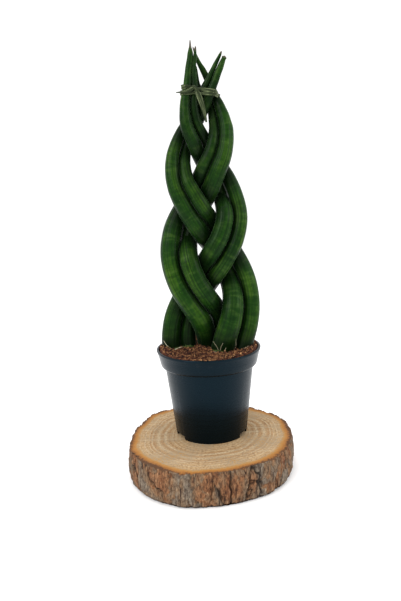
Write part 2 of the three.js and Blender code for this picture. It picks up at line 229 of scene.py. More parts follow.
def sweep(bm, places, mark=None):
    """Raises the ring or row of vertices in bm into a straight tube or strip, bent through the places."""
    spans = len(places) - 1
    made = bmesh.ops.extrude_edge_only(bm, edges=bm.edges[:])["geom"]
    raised = [g for g in made if isinstance(g, bmesh.types.BMVert)]
    bmesh.ops.translate(bm, vec=(0, 0, 1), verts=raised)
    rising = [e for e in bm.edges if abs(e.verts[0].co.z - e.verts[1].co.z) > 0.5]
    bmesh.ops.subdivide_edges(bm, edges=rising, cuts=spans - 1, use_grid_fill=True)
    ends = {0: [], spans: []}
    for v in bm.verts:
        step = round(v.co.z * spans)
        if mark:
            mark(v, step)
        v.co = places[step] @ Vector((v.co.x, v.co.y, 0))
        if step in ends:
            ends[step].append(v)
    return ends.values()


def close_ends(bm, rings):
    """Gathers each ring of vertices to a point."""
    for ring in rings:
        bmesh.ops.pointmerge(bm, verts=ring, merge_co=sum((v.co for v in ring), Vector()) / len(ring))


def gather(bm, part):
    """Adds a small part to a large bmesh. Each operator visits the whole mesh, so parts are made apart."""
    mesh = bpy.data.meshes.new("part")
    part.to_mesh(mesh)
    part.free()
    bm.from_mesh(mesh)
    bpy.data.meshes.remove(mesh)


print("helpers ready")

# %% [markdown]
# ## The leaf skin
#
# A cylindrical snake plant's leaf is a stiff green rod with a waxy skin. Lengthwise channels, darker than
# the ridges between them, run from root to tip, and dull cross bands lie over them. It could be painted
# on a UV map, but a seam would show down the back of each leaf. Instead each vertex notes where it lay on
# the straight leaf before bending, as a point on a tall cylinder, and the noise is read there, stretched
# along the leaf. Deep between two leaves and near the soil, painted shade turns the skin nearly black
# green, as far as each vertex notes. Dry brown tips and pale specks come from notes and finer noise.

# %% Finish: leaf skin
def leaf_skin():
    skin = Finish("leaf_skin", 0.5, Specular_IOR_Level=0.055, Sheen_Weight=0.07, Sheen_Roughness=0.4,
                  Sheen_Tint=(0.6, 0.9, 0.6, 1.0))
    straight = skin.attribute("straight", "Vector")
    streaks = skin.speckle(skin.place((7, 7, 9), source=straight), 1, 3, 0.6)
    patches = skin.speckle(skin.place((0.8, 0.8, 30), source=straight), 1, 4, 0.6)
    bands = skin.speckle(skin.place((0.45, 0.45, 190), source=straight), 1, 3, 0.6, 0.3)
    specks = skin.speckle(skin.place((26, 26, 900), source=straight), 1, 2, 0.5)
    green = skin.ramp(patches, (0.36, paint(16, 46, 8)), (0.5, paint(26, 58, 10)),
                      (0.68, paint(50, 80, 16)))
    green = skin.layer(green, paint(12, 38, 9), streaks, (0.44, 0.0), (0.62, 0.6))
    green = skin.layer(green, paint(10, 34, 7), bands, (0.38, 0.5), (0.49, 0.0))
    green = skin.layer(green, paint(70, 96, 40), bands, (0.53, 0.0), (0.68, 0.3))
    green = skin.noted(green, paint(6, 24, 6), "channel", 0.85)
    green = skin.layer(green, paint(116, 134, 90), specks, (0.73, 0.0), (0.76, 0.7))
    # painted shade: nearly black green between the leaves and near the soil
    green = skin.noted(green, paint(2, 11, 1), "painted_shade", 0.95)
    worn = skin.sums("ADD", skin.attribute("dry"), skin.swing(streaks, 0.5, 0.9))
    brown = skin.layer(paint(30, 24, 24), paint(104, 94, 82), streaks, (0.4, 0.0), (0.62, 1.0))
    skin.colour(skin.layer(green, brown, worn, (0.42, 0.0), (0.6, 1.0)))
    skin.gloss(skin.ramp(skin.blend(0.5, patches, streaks), (0.3, 0.22), (0.7, 0.34)))
    skin.relief(skin.blend(0.35, streaks, specks), 0.35, 0.5)
    return skin


LEAF_SKIN = leaf_skin()
print("leaf skin mixed")

# %% [markdown]
# ## The leaves
#
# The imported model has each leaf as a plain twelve-sided tube. A finer tube could be drawn by hand, but
# then the braid would have to be found again. Instead we walk up the plain tube, ring by ring, and so get
# back the line that the leaf follows and how thick it is at each place.

# %% Read a leaf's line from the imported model
def leaf_line(node):
    """[(middle, radius)] from the root to the tip of one plain tube."""
    bm = bmesh.new()
    bm.from_mesh(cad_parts[node].data)
    bmesh.ops.remove_doubles(bm, verts=bm.verts, dist=2e-6)
    bm.verts.index_update()
    rings = []
    ring, seen = {max(bm.verts, key=lambda v: (len(v.link_edges), v.co.z))}, set()
    while ring:
        corners = [v.co for v in sorted(ring, key=lambda v: v.index)]
        if len(corners) > 1:
            middle = sum(corners, Vector()) / len(corners)
            rings.append((middle, sum((corner - middle).length for corner in corners) / len(corners)))
        seen |= ring
        ring = {e.other_vert(v) for v in ring for e in v.link_edges} - seen
    bm.free()
    return rings[::-1]


STRANDS = ("first", "second", "third")
LEAF_NODES = [f"{strand}_strand_{side}_leaf" for strand in STRANDS for side in ("left", "right")]
LEAF_LINES = {name: leaf_line(name) for name in LEAF_NODES}
print({name: len(rings) for name, rings in LEAF_LINES.items()}, "rings")

# %% [markdown]
# ### Fuller leaves
#
# The skin of the finer leaf lies a little outside the plain tube, whose flat sides cut its corners. The
# extra is given for the braid and, leaf by leaf, for the crown above the tie, and it runs out at the tip.
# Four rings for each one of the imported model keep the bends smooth.

# %% Make the lines finer and fuller
RING_PARTS = 4
TIE_LEVEL = 420 * MM
PARTING = 14 * MM  # the stretch over which the leaves of a strand come apart
BRAID_FULLER = 0.6 * MM
CROWN_FULLER = dict(zip(LEAF_NODES, (0.55, 0.3, 0.35, 0.4, 0.1, 0.35)))  # in millimetres
TIP_STRETCH = (-1 * MM, 5 * MM)  # how far below the tip the crown's extra starts and is full


def smooth_step(low, high, x):
    """0 at low, 1 at high and an even rise between them; low may be the larger."""
    t = min(1.0, max(0.0, (x - low) / (high - low)))
    return t * t * (3 - 2 * t)


def fine_rings(name):
    """A leaf's rings from root to tip, closer together and a little wider than the plain tube's."""
    rings = LEAF_LINES[name]
    middles = along_line([middle for middle, _ in rings], RING_PARTS)
    radii = along_line([Vector((radius, 0, 0)) for _, radius in rings], RING_PARTS)
    fuller_rings = []
    for middle, radius in zip(middles, radii):
        in_braid = smooth_step(TIE_LEVEL, TIE_LEVEL - 2 * PARTING, middle.z)
        at_crown = CROWN_FULLER[name] * MM * smooth_step(*TIP_STRETCH, middles[-1].z - middle.z)
        fuller_rings.append((middle, radius.x + at_crown + (BRAID_FULLER - at_crown) * in_braid))
    return fuller_rings


FINE_LINES = {name: fine_rings(name) for name in LEAF_NODES}
print("each leaf now has", len(FINE_LINES[LEAF_NODES[0]]), "rings")

# %% [markdown]
# ### Pressed leaves
#
# The two leaves of a strand press on each other, so that no daylight shows between them. A lattice could
# squash them together, but a small sideways move is enough. For each ring we look for the partner's ring
# that lies nearest as seen from the front, and the two come together by half the gap each and a little
# more. Near the tips the pull fades out, because there the leaves stand free.

# %% Press the leaves of each strand together
OVERLAP = 0.045  # of the two radii together
GAPS_PULLED = (9 * MM, 6 * MM)  # a gap as wide as the first stays open, and one below the second is closed
FREE_ABOVE = dict(zip(STRANDS, (458 * MM, 447 * MM, 425 * MM)))


def seen_rings(rings):
    """Each ring's place and radius as seen on the upright plane y = 0, and how much that enlarges it."""
    seen = []
    for middle, radius in rings:
        enlarged = CAMERA_PLACE.y / (CAMERA_PLACE.y - middle.y)
        place = CAMERA_PLACE.xz + (middle.xz - CAMERA_PLACE.xz) * enlarged
        seen.append((place, radius * enlarged, enlarged))
    return seen


def pressed_to(rings, partner, free_above):
    """The leaf's rings, moved sideways to its partner wherever the two run side by side in the braid."""
    moved, beside = [], seen_rings(partner)
    for (middle, radius), (place, reach, enlarged) in zip(rings, seen_rings(rings)):
        other, other_reach, _ = min(beside, key=lambda ring: (ring[0] - place).length_squared)
        aside = other - place
        gap = aside.length - reach - other_reach
        pull = (gap + OVERLAP * (reach + other_reach)) / 2
        pull *= smooth_step(*GAPS_PULLED, gap) * smooth_step(free_above, free_above - PARTING, middle.z)
        aside *= pull / aside.length / enlarged
        moved.append((middle + Vector((aside.x, 0, aside.y)), radius))
    return moved


for strand, left, right in zip(STRANDS, LEAF_NODES[::2], LEAF_NODES[1::2]):
    a, b, free = FINE_LINES[left], FINE_LINES[right], FREE_ABOVE[strand]
    FINE_LINES[left], FINE_LINES[right] = pressed_to(a, b, free), pressed_to(b, a, free)
print("pressed", len(FINE_LINES), "leaves together")

# %% [markdown]
# ### Channels
#
# The channels of a cylindrical leaf differ in depth and lie unevenly round it, so each leaf draws a set
# of its own. They could be bump in the finish, but the rounded ridges show at the leaf's edge, so they
# are pressed into the mesh.

# %% Plan the channels
CHANNELS = 17
CHANNEL_DEPTH = 0.03  # of the leaf's radius


def channel_depths(rng):
    """How deep the channels lie round the leaf, 0 on a ridge and up to 1 in the deepest."""
    angles = [(i + rng.uniform(-0.3, 0.3)) * 2 * math.pi / CHANNELS for i in range(CHANNELS)]
    channels = [(angle, rng.uniform(0.3, 1.0), rng.uniform(0.05, 0.08)) for angle in angles]

    def depth(angle):
        away = [(abs((angle - a + math.pi) % (2 * math.pi) - math.pi), d, w) for a, d, w in channels]
        return min(1.0, sum(d * math.exp(-((gap / width) ** 2)) for gap, d, width in away))

    return depth


print("each leaf gets", CHANNELS, "channels")

# %% [markdown]
# ### The shade between leaves
#
# The finish paints shade where the skin is hidden between leaves. An ambient occlusion node would find
# it anew in every render. Here it is measured once: a search tree holds the middles of each other leaf,
# and the nearer a point is to that leaf's skin, the darker the shade painted on it.

# %% Measure how deep a point lies between the leaves
PARTNER_REACH = 8 * MM
CROSSING_REACH = 21 * MM


def shut_in(name):
    """How deep, from 0 to 1, a point of this leaf lies between the skins of the others: its painted shade."""
    trees = []
    for other, rings in FINE_LINES.items():
        if other == name:
            continue
        tree = kdtree.KDTree(len(rings))
        for i, (middle, _) in enumerate(rings):
            tree.insert(middle, i)
        tree.balance()
        reach = PARTNER_REACH if other.split("_")[0] == name.split("_")[0] else CROSSING_REACH
        trees.append((tree, rings, reach))

    def shade(point):
        found = [(tree.find(point), rings, reach) for tree, rings, reach in trees]
        return max(smooth_step(reach, 0, away - rings[i][1]) for (_, i, away), rings, reach in found)

    return shade


print("shade reaches", round(PARTNER_REACH / MM), "to", round(CROSSING_REACH / MM), "mm from the next leaf")

# %% [markdown]
# ### Fluted leaves
#
# Now each leaf is swept: a circle of 96 vertices, dented by the channels, travels from the root to the
# tip, swells and thins a little on its way, and closes to a point at both ends. Each vertex notes what the
# finish reads. One leaf's tip was cut blunt and has withered, so it curls outwards at the end.

# %% Model the fluted leaves
LEAF_SIDES = 96
FOOT = 140 * MM  # the soil's level
FOOT_SHADE = (34 * MM, 3 * MM)  # how far above the soil the shade starts and is full
CROWN_LIGHT = 0.6  # the share of the shade between leaves that is gone above the tie
DRY_TIP = dict(zip(LEAF_NODES, (8, 4.5, 3, 2.2, 1.5, 7)))  # millimetres from the tip to where it is half dry
WITHERED = "second_strand_right_leaf"


def withered_swell(from_tip_mm):
    """The withered tip's curled edge, and the neck just below it."""
    edge = 0.3 * math.exp(-((from_tip_mm - 0.8) / 1.2) ** 2)
    return edge - 0.1 * math.exp(-((from_tip_mm - 4) / 1.5) ** 2)


def leaf_places(name, seed):
    """Where each ring of the leaf goes, and how far along the leaf it lies."""
    rings = FINE_LINES[name]
    turns = travelling([middle for middle, _ in rings], (1, 0, 0))
    lengths = [0.0]
    for (before, _), (after, _) in zip(rings, rings[1:]):
        lengths.append(lengths[-1] + (after - before).length)
    places = []
    for (middle, radius), turn, length in zip(rings, turns, lengths):
        swell = 1 + 0.012 * noise.noise(Vector((seed * 9.1, 0, length * 45)))
        if name == WITHERED:
            swell += withered_swell((lengths[-1] - length) / MM)
        places.append(Matrix.Translation(middle) @ turn @ Matrix.Scale(radius * swell, 4))
    return places, lengths


def make_leaf(name, seed):
    places, lengths = leaf_places(name, seed)
    bm = bmesh.new()
    straight = bm.verts.layers.float_vector.new("straight")
    channel, dry, painted_shade = (bm.verts.layers.float.new(note) for note in ("channel", "dry", "painted_shade"))
    depth, shade = channel_depths(random.Random(seed)), shut_in(name)
    for v in bmesh.ops.create_circle(bm, segments=LEAF_SIDES, radius=1)["verts"]:
        v[straight] = (v.co.x + 3 * seed, v.co.y, 0)
        v[channel] = depth(math.atan2(v.co.y, v.co.x))
        v.co *= 1 - CHANNEL_DEPTH * v[channel]

    def note(v, step):
        v[straight] = (v[straight].x, v[straight].y, lengths[step])
        v[dry] = max(0.0, 1 - (lengths[-1] - lengths[step]) / (2 * DRY_TIP[name] * MM))

    close_ends(bm, sweep(bm, places, note))
    for v in bm.verts:
        open_crown = CROWN_LIGHT * smooth_step(TIE_LEVEL, TIE_LEVEL + 2 * PARTING, v.co.z)
        # painted shade: deep between the leaves, weaker above the tie, and near the soil
        v[painted_shade] = max((1 - open_crown) * shade(v.co), 0.95 * smooth_step(*FOOT_SHADE, v.co.z - FOOT))
    bmesh.ops.recalc_face_normals(bm, faces=bm.faces)
    finished(name.replace("_leaf", "_fluted_leaf"), bm, LEAF_SKIN, name)


for number, name in enumerate(LEAF_NODES):
    make_leaf(name, number + 1)

# %% [markdown]
# ## The nursery pot
#
# A nursery pot is injection moulded: one thin wall of black plastic that tapers to the foot, a stiff
# collar at the top with a rolled lip, a raised floor with drain holes, and notches in the foot that let
# water out. A turned shape like this is one profile spun about the pot's axis. Its floor is a flat plate,
# filled between the wall and the hole rims. The notches are made as the mould makes them: the foot's edge
# is lifted there.

# %% Spin a profile
def joined(bm, points):
    """A row of vertices at the points, with an edge from each to the next."""
    row = [bm.verts.new(point) for point in points]
    return row, [bm.edges.new(pair) for pair in zip(row, row[1:])]


def turned(profile, steps):
    """A bmesh with a profile of (radius, height) points spun once about the upright axis."""
    bm = bmesh.new()
    row, edges = joined(bm, [(radius, 0, height) for radius, height in profile])
    bmesh.ops.spin(bm, geom=row + edges, axis=(0, 0, 1), cent=(0, 0, 0), angle=2 * math.pi,
                   steps=steps, use_merge=True)
    return bm


print("ready to spin")

# %% Model the pot
POT_PLACE = Vector((1, 12, 38)) * MM
POT_SIDES = 192
FLOOR_UNDER, FLOOR_TOP = 4.5, 5.7
DRAIN_HOLES, HOLE_RADIUS, HOLE_SIDES, HOLES_FROM_AXIS = 8, 4, 20, 27
NOTCH_AZIMUTHS, NOTCH_HALF_WIDTH = (-118, -62, 62, 118), 13  # in degrees
NOTCH_LIFT = 4.2
# (radius, height) in millimetres: down to the foot, up the outside, over the lip and down the inside
WALL_PROFILE = [
    (40.79, FLOOR_UNDER), (40.35, 0), (41.5, 0), (46.2, 41), (51, 82), (54.6, 83.1), (55.3, 83.8), (55.8, 85),
    (57.2, 91.5), (58.9, 98), (59.6, 99.8), (60, 100.9), (60, 101.8), (59.7, 102.2), (59, 102.5),
    (57.9, 102.5), (57.5, 102), (56.6, 97.5), (54.6, 85.5), (49.8, 83.5), (45.2, 44), (40.94, FLOOR_TOP),
]


def hole_rims(bm, level):
    """The edges of each drain hole's rim, on one face of the floor."""
    rims = []
    for i in range(DRAIN_HOLES):
        turn = Matrix.Rotation(i * 2 * math.pi / DRAIN_HOLES, 4, "Z")
        place = turn @ Matrix.Translation(Vector((HOLES_FROM_AXIS, 0, level)) * MM)
        rim = bmesh.ops.create_circle(bm, segments=HOLE_SIDES, radius=HOLE_RADIUS * MM, matrix=place)
        rims.append(list(dict.fromkeys(e for v in rim["verts"] for e in v.link_edges)))
    return rims


def lift_notches(bm):
    for v in bm.verts:
        azimuth = math.degrees(math.atan2(v.co.x, -v.co.y))
        away = min(abs((azimuth - notch + 180) % 360 - 180) for notch in NOTCH_AZIMUTHS)
        if v.co.z < 0.1 * MM and away < NOTCH_HALF_WIDTH:
            v.co.z += NOTCH_LIFT * MM


def make_pot():
    bm = turned([(radius * MM, height * MM) for radius, height in WALL_PROFILE], POT_SIDES)
    plates = []
    for level in (FLOOR_UNDER, FLOOR_TOP):
        wall = [e for e in bm.edges if e.is_boundary and abs(e.verts[0].co.z - level * MM) < 1e-5]
        rims = hole_rims(bm, level)
        bmesh.ops.triangle_fill(bm, use_beauty=True, edges=wall + sum(rims, []))
        plates.append(rims)
    for under, top in zip(*plates):
        bmesh.ops.bridge_loops(bm, edges=under + top)
    lift_notches(bm)
    bmesh.ops.recalc_face_normals(bm, faces=bm.faces)
    bmesh.ops.translate(bm, vec=POT_PLACE, verts=bm.verts)
    return bm


POT_SHAPE = make_pot()
print("the pot's shape has", len(POT_SHAPE.faces), "faces")

# %% [markdown]
# ### Pot plastic
#
# The plastic is dyed through, nearly black with a blue cast, and moulded with a fine satin texture. A flat
# black would look like a hole. What makes it read as plastic is a soft gloss that changes a little from
# place to place, faint flow rings round the wall, dust that clings near the lip, and a few dull rubs.

# %% Finish: pot plastic
MOULDED_EDGE = math.radians(38)  # edges sharper than this are rounded by the mould
DUSTY_HEIGHTS = (0.115, 0.142)  # metres above the ground where dust starts and where it is full


def pot_plastic():
    plastic = Finish("pot_plastic", 0.3, Specular_IOR_Level=0.2, Specular_Tint=(0.34, 0.72, 1.0, 1.0))
    grain = plastic.speckle(plastic.place(), 1400, 2, 0.5)
    flow = plastic.speckle(plastic.place((6, 6, 420)), 1, 2, 0.5)
    rubs = plastic.speckle(plastic.place((1, 1, 0.4), (3, 1, 2)), 46, 5, 0.65)
    dust = plastic.speckle(plastic.place(shift=(7, 2, 5)), 160, 5, 0.7)
    height = plastic.add("SeparateXYZ", 2, Vector=plastic.place())
    upper = plastic.rise(height, *DUSTY_HEIGHTS)
    body = plastic.blend(flow, paint(2, 4, 7), paint(4, 8, 12))
    dusty = plastic.sums("MULTIPLY", plastic.ramp(dust, (0.56, 0.0), (0.76, 0.35)), upper)
    body = plastic.blend(dusty, body, paint(46, 44, 42))
    plastic.colour(plastic.layer(body, paint(30, 37, 44), rubs, (0.66, 0.0), (0.74, 0.3)))
    plastic.gloss(plastic.ramp(plastic.blend(0.5, rubs, flow), (0.3, 0.22), (0.7, 0.34)))
    plastic.relief(plastic.blend(0.6, flow, grain), 0.1, 0.25)
    return plastic


pot = finished("moulded_pot", POT_SHAPE, pot_plastic(), "nursery_pot")
softened = pot.modifiers.new("moulded edges", "BEVEL")
softened.width, softened.segments, softened.limit_method = 0.22 * MM, 2, "ANGLE"
softened.angle_limit = MOULDED_EDGE
softened.harden_normals = True
pot.data.set_sharp_from_angle(angle=MOULDED_EDGE)

# %% [markdown]
# ## The potting soil
#
# The pot is filled with peat and coir: a reddish brown bed, heaped a little against the left and right of
# the rim. A sculpted surface would do, but it couldn't be measured. The bed here is a spun profile with
# fine rings, raised by a rule that gives its height at any place, so the crumbs can be laid on it later.

# %% Model the soil bed
SOIL_TOP = 101.5
BED_RADIUS = 56.2
BED_RINGS, RING_STEP = 51, 1.1
BED_SIDES = 300
CROWN_RISE, CROWN_REACH = 2, 45
HEAP_RISE, HEAP_REACH, HEAP_HALF_WIDTH = 4.5, 52, 12


def bed_height(x, y):
    """Height of the soil above the pot's base at a place seen from the pot's axis, all in millimetres."""
    reach = math.hypot(x, y)
    crown = CROWN_RISE * max(0.0, 1 - (reach / CROWN_REACH) ** 2)
    heap = HEAP_RISE * max(0.0, 1 - abs(reach - HEAP_REACH) / HEAP_HALF_WIDTH) * (x / max(reach, 0.1)) ** 2
    lumps = 1.5 * noise.noise(Vector((x, y, 3)) / 7) + 1.1 * noise.noise(Vector((x, y, 9)) / 2.6)
    return SOIL_TOP + crown + heap + lumps * min(1.0, (58.5 - reach) / 6)


def make_bed():
    inside = [(0, FLOOR_TOP + 0.3), (40.6, FLOOR_TOP + 0.3), (49.6, 83.7), (54.2, 86.2), (56.1, 98)]
    rings = [(BED_RADIUS - RING_STEP * i, SOIL_TOP) for i in range(BED_RINGS)] + [(0, SOIL_TOP)]
    bm = turned([(radius * MM, height * MM) for radius, height in inside + rings], BED_SIDES)
    bmesh.ops.remove_doubles(bm, verts=bm.verts, dist=1e-6)
    for v in bm.verts:
        if v.co.z > (SOIL_TOP - 1) * MM:
            v.co.z = bed_height(v.co.x / MM, v.co.y / MM) * MM
    bmesh.ops.recalc_face_normals(bm, faces=bm.faces)
    bmesh.ops.translate(bm, vec=POT_PLACE, verts=bm.verts)
    return bm


BED_SHAPE = make_bed()
print("the bed's shape has", len(BED_SHAPE.faces), "faces")

# %% [markdown]
# ### Peat and coir
#
# Peat is nearly black where it is deep and damp, and dry coir crumbs run to tan. The bed takes its tone
# from a noise of clumps. The loose crumbs share the recipe, but each of them keeps a tone of its own as a
# note, because a noise read in space would give a whole group of crumbs the same colour.

# %% Finish: peat and coir
def soil_finish(name, noted):
    peat = Finish(name, 0.95, Specular_IOR_Level=0.2)
    grains = peat.speckle(peat.place(), 900, 4, 0.7)
    clumps = peat.speckle(peat.place(shift=(1, 4, 2)), 260, 3, 0.6)
    tone = peat.attribute("tone") if noted else clumps
    earth = peat.ramp(tone, (0.2, paint(20, 9, 9)), (0.4, paint(54, 26, 19)), (0.6, paint(102, 60, 38)),
                      (0.85, paint(188, 138, 92)))
    peat.colour(peat.blend(peat.ramp(grains, (0.35, 0.7), (0.6, 0.0)), earth, paint(24, 14, 12)))
    peat.relief(peat.blend(0.5, grains, clumps), 0.8, 1.2)
    return peat


CRUMB = soil_finish("soil_crumb", True)
finished("soil_bed", BED_SHAPE, soil_finish("peat", False), "potting_soil")

# %% [markdown]
# ### Loose crumbs
#
# The crumbs are icospheres of twenty faces, squashed and turned at random: there are thousands, so each
# one has to be simple. Instances on points would be lighter, but they aren't a mesh of their own. All
# random draws are seeded, and so is the noise that dents the crumbs, which would otherwise start from the
# time of day. Each run then gives the same soil.

# %% Scatter the crumbs
CRUMBS = 6600
CRUMB_BATCH = 60  # crumbs made together before they join the rest
CRUMB_REACH = 55.6  # from the pot's axis, in millimetres


def nearest_ring(rings, height_mm):
    """The leaf's ring that is nearest to a height above the pot's base."""
    level = POT_PLACE.z + height_mm * MM
    return min(rings, key=lambda ring: abs(ring[0].z - level))


LEAF_FEET = [nearest_ring(rings, 102) for rings in LEAF_LINES.values()]
LEAF_FEET = [(middle - POT_PLACE, radius) for middle, radius in LEAF_FEET]


def clear_of_leaves(x, y, margin):
    """Whether a place is outside each leaf's foot by more than the margin, all in millimetres."""
    return all(math.hypot(x - m.x / MM, y - m.y / MM) > r / MM + margin for m, r in LEAF_FEET)


def crumb(part, tone, rng, x, y):
    """One crumb, lying on the bed at a place in millimetres from the pot's axis."""
    size = rng.choice((0.3, 0.4, 0.5, 0.7, 1.0)) * rng.uniform(0.8, 1.25)
    shape = [size * rng.uniform(0.9, 2.1), size * rng.uniform(0.5, 0.9), size * rng.uniform(0.4, 0.8)]
    place = (
        Matrix.Translation(POT_PLACE + Vector((x, y, bed_height(x, y) + 0.4 * size)) * MM)
        @ Matrix.Rotation(rng.uniform(0, 6.3), 4, "Z")
        @ Matrix.Rotation(rng.gauss(0, 0.45), 4, "Y")
        @ Matrix.Diagonal((*shape, 1))
    )
    shade = min(1.0, max(0.0, rng.gauss(0.5, 0.24)))
    for v in bmesh.ops.create_icosphere(part, subdivisions=1, radius=MM, matrix=place)["verts"]:
        v.co += noise.noise_vector(v.co * 900) * 0.2 * size * MM
        v[tone] = shade


def make_crumbs():
    rng = random.Random(7)
    noise.seed_set(7)
    bm = bmesh.new()
    bm.verts.layers.float.new("tone")
    for _ in range(CRUMBS // CRUMB_BATCH):
        part = bmesh.new()
        tone = part.verts.layers.float.new("tone")
        placed = 0
        while placed < CRUMB_BATCH:
            reach, azimuth = CRUMB_REACH * math.sqrt(rng.random()), rng.uniform(0, 2 * math.pi)
            x, y = reach * math.cos(azimuth), reach * math.sin(azimuth)
            if clear_of_leaves(x, y, -0.4):
                crumb(part, tone, rng, x, y)
                placed += 1
        gather(bm, part)
    return bm


finished("soil_crumbs", make_crumbs(), CRUMB, "potting_soil", smooth=False)

# %% [markdown]
# ### Coir fibres
#
# Coir is made of coconut husk, so short tan fibres stick out of the bed at all angles. Each is a
# five-sided hair swept along a bent line. Particle hair would be quicker to place, but it isn't a mesh
# and couldn't be cut or exported.

# %% Lay the fibres
FIBRES = 420
HAIR_SIDES = 5
FIBRE_REACH = 55.5  # how far from the pot's axis a fibre may lie, in millimetres


def hair(bm, shade, points, thickness_mm):
    """A hair that tapers along a smooth line through points given from the pot's axis and base, in mm."""
    part = bmesh.new()
    tone = part.verts.layers.float.new("tone")
    line = along_line([POT_PLACE + Vector(point) * MM for point in points], 3)
    for v in bmesh.ops.create_circle(part, segments=HAIR_SIDES, radius=1)["verts"]:
        v[tone] = shade
    places = []
    for i, (point, turn) in enumerate(zip(line, travelling(line, (0.3, 0.2, 1)))):
        taper = 1 - 0.7 * (i / (len(line) - 1)) ** 2
        places.append(Matrix.Translation(point) @ turn @ Matrix.Scale(thickness_mm * taper * MM / 2, 4))
    close_ends(part, sweep(part, places))
    bmesh.ops.recalc_face_normals(part, faces=part.faces)
    gather(bm, part)


def fibre_points(rng):
    """Four points of a bent fibre on the bed, or None where it would run into a leaf or the wall."""
    reach, azimuth = 54 * math.sqrt(rng.random()), rng.uniform(0, 2 * math.pi)
    heading, length, bend = rng.uniform(0, 2 * math.pi), rng.uniform(3, 9), rng.uniform(-0.9, 0.9)
    lift = rng.choice((0.4, 0.7, 1.1, 2.4))
    points = []
    for share in (0, 1 / 3, 2 / 3, 1):
        x = reach * math.cos(azimuth) + length * share * math.cos(heading + bend * share)
        y = reach * math.sin(azimuth) + length * share * math.sin(heading + bend * share)
        if math.hypot(x, y) > FIBRE_REACH or not clear_of_leaves(x, y, 0.4):
            return None
        points.append((x, y, bed_height(x, y) + 0.3 + lift * math.sin(2.4 * share)))
    return points


def make_fibres():
    rng = random.Random(11)
    bm = bmesh.new()
    bm.verts.layers.float.new("tone")
    laid = 0
    while laid < FIBRES:
        points = fibre_points(rng)
        if points:
            hair(bm, rng.uniform(0.35, 0.95), points, rng.uniform(0.2, 0.42))
            laid += 1
    return bm


finished("coir_fibres", make_fibres(), CRUMB, "potting_soil")

# %% [markdown]
# ### Pale rootlets
#
# A few of the plant's own dry rootlets are longer and nearly white, and stand out against the soil and
# the leaves. There are so few that each one is listed with four points of its line.

# %% Lay the pale rootlets
# (thickness, points), in millimetres from the pot's axis and base
ROOTLET_LINES = [
    (0.6, [(-51.5, -3, 112.5), (-48.6, -7, 108.8), (-45.9, -9, 106.3), (-40.7, -10, 103.3)]),
    (1.1, [(-39.4, -12, 102.9), (-36.0, -12, 104.4), (-32.5, -12, 105.6), (-28.7, -12, 106.3)]),
    (0.8, [(26.5, -20, 103.0), (27.1, -22, 110.9), (27.0, -22, 116.7), (28.2, -19, 122.4)]),
    (0.4, [(29.3, -20, 103.0), (30.6, -23, 108.4), (30.5, -23, 113.1), (31.4, -22, 116.5)]),
    (0.4, [(22.5, -24, 102.5), (22.0, -25.5, 107), (24.0, -24.5, 112), (23.5, -24, 115)]),
    (0.4, [(11.1, -27, 102.5), (9.1, -28, 108.8), (6.0, -27.5, 113.5), (5.0, -26.5, 115.8)]),
    (0.4, [(12.2, -27, 102.5), (13.5, -28, 108.6), (15.9, -27.5, 113.1), (14.4, -26.5, 116.6)]),
    (0.4, [(15, -26, 102), (18, -27.5, 105), (20, -27, 108.5), (23, -25.5, 111)]),
    (0.4, [(11, -27, 102), (7, -29, 103.6), (3, -30, 103.8), (-1, -30, 103.2)]),
    (0.5, [(36, -21, 102.5), (39, -22, 104), (43, -21, 105.5), (46, -18, 106.6)]),
]


def rootlet_finish():
    rootlet = Finish("rootlet", 0.6, Specular_IOR_Level=0.3)
    rootlet.colour(rootlet.ramp(rootlet.speckle(rootlet.place(), 700), (0.35, paint(132, 120, 92)),
                                (0.6, paint(190, 184, 156))))
    return rootlet


def make_rootlets():
    bm = bmesh.new()
    bm.verts.layers.float.new("tone")
    for thickness, points in ROOTLET_LINES:
        hair(bm, 1.0, points, thickness)
    return bm


finished("pale_rootlets", make_rootlets(), rootlet_finish(), "potting_soil")

# %% [markdown]
# ### Sheaths at the foot of the leaves
#
# Round the foot of a leaf stands the rest of a short papery scale that once wrapped the young shoot. It is
# a thin curved sheet with a torn upper edge, close to the leaf. It could be cut from a tube, but that
# leaves hard corners. A row of vertices on an arc is swept up the leaf instead, a little wider at each
# step, and lowered towards its sides. A Solidify modifier gives the sheet its thickness.

# %% Finish: papery sheath
def sheath_finish():
    sheath = Finish("papery_sheath", 0.6, Specular_IOR_Level=0.2)
    veins = sheath.speckle(sheath.place((1, 1, 0.15)), 900, 3, 0.6)
    green, pale, straw = paint(38, 58, 22), paint(72, 92, 44), paint(110, 112, 70)
    sheath.colour(sheath.ramp(veins, (0.35, green), (0.55, pale), (0.7, straw)))
    sheath.relief(veins, 0.5, 0.3)
    return sheath


SHEATH = sheath_finish()
print("sheath finish mixed")

# %% Model the sheaths
# (leaf, the azimuth that the sheath faces, half its width, both in degrees, its height in millimetres)
SHEATHS = [("first_strand_right_leaf", -90, 62, 6.5), ("second_strand_left_leaf", -120, 50, 4.0),
           ("first_strand_left_leaf", -60, 45, 3.5), ("second_strand_right_leaf", -40, 55, 4.5),
           ("third_strand_right_leaf", 100, 60, 5.0)]
SHEATH_COLUMNS, SHEATH_ROWS = 24, 8


def tear(part, middle, facing, half_width, number):
    """Lowers the sheet towards its sides, and unevenly along its upper edge."""
    for v in part.verts:
        azimuth = math.degrees(math.atan2(v.co.y - middle.y, v.co.x - middle.x))
        across = abs((azimuth - facing + 180) % 360 - 180) / half_width
        left = (1 - across**2) * (0.8 + 0.35 * noise.noise(Vector((azimuth / 9, number * 7, 0))))
        v.co.z = middle.z + (v.co.z - middle.z) * max(0.05, left)


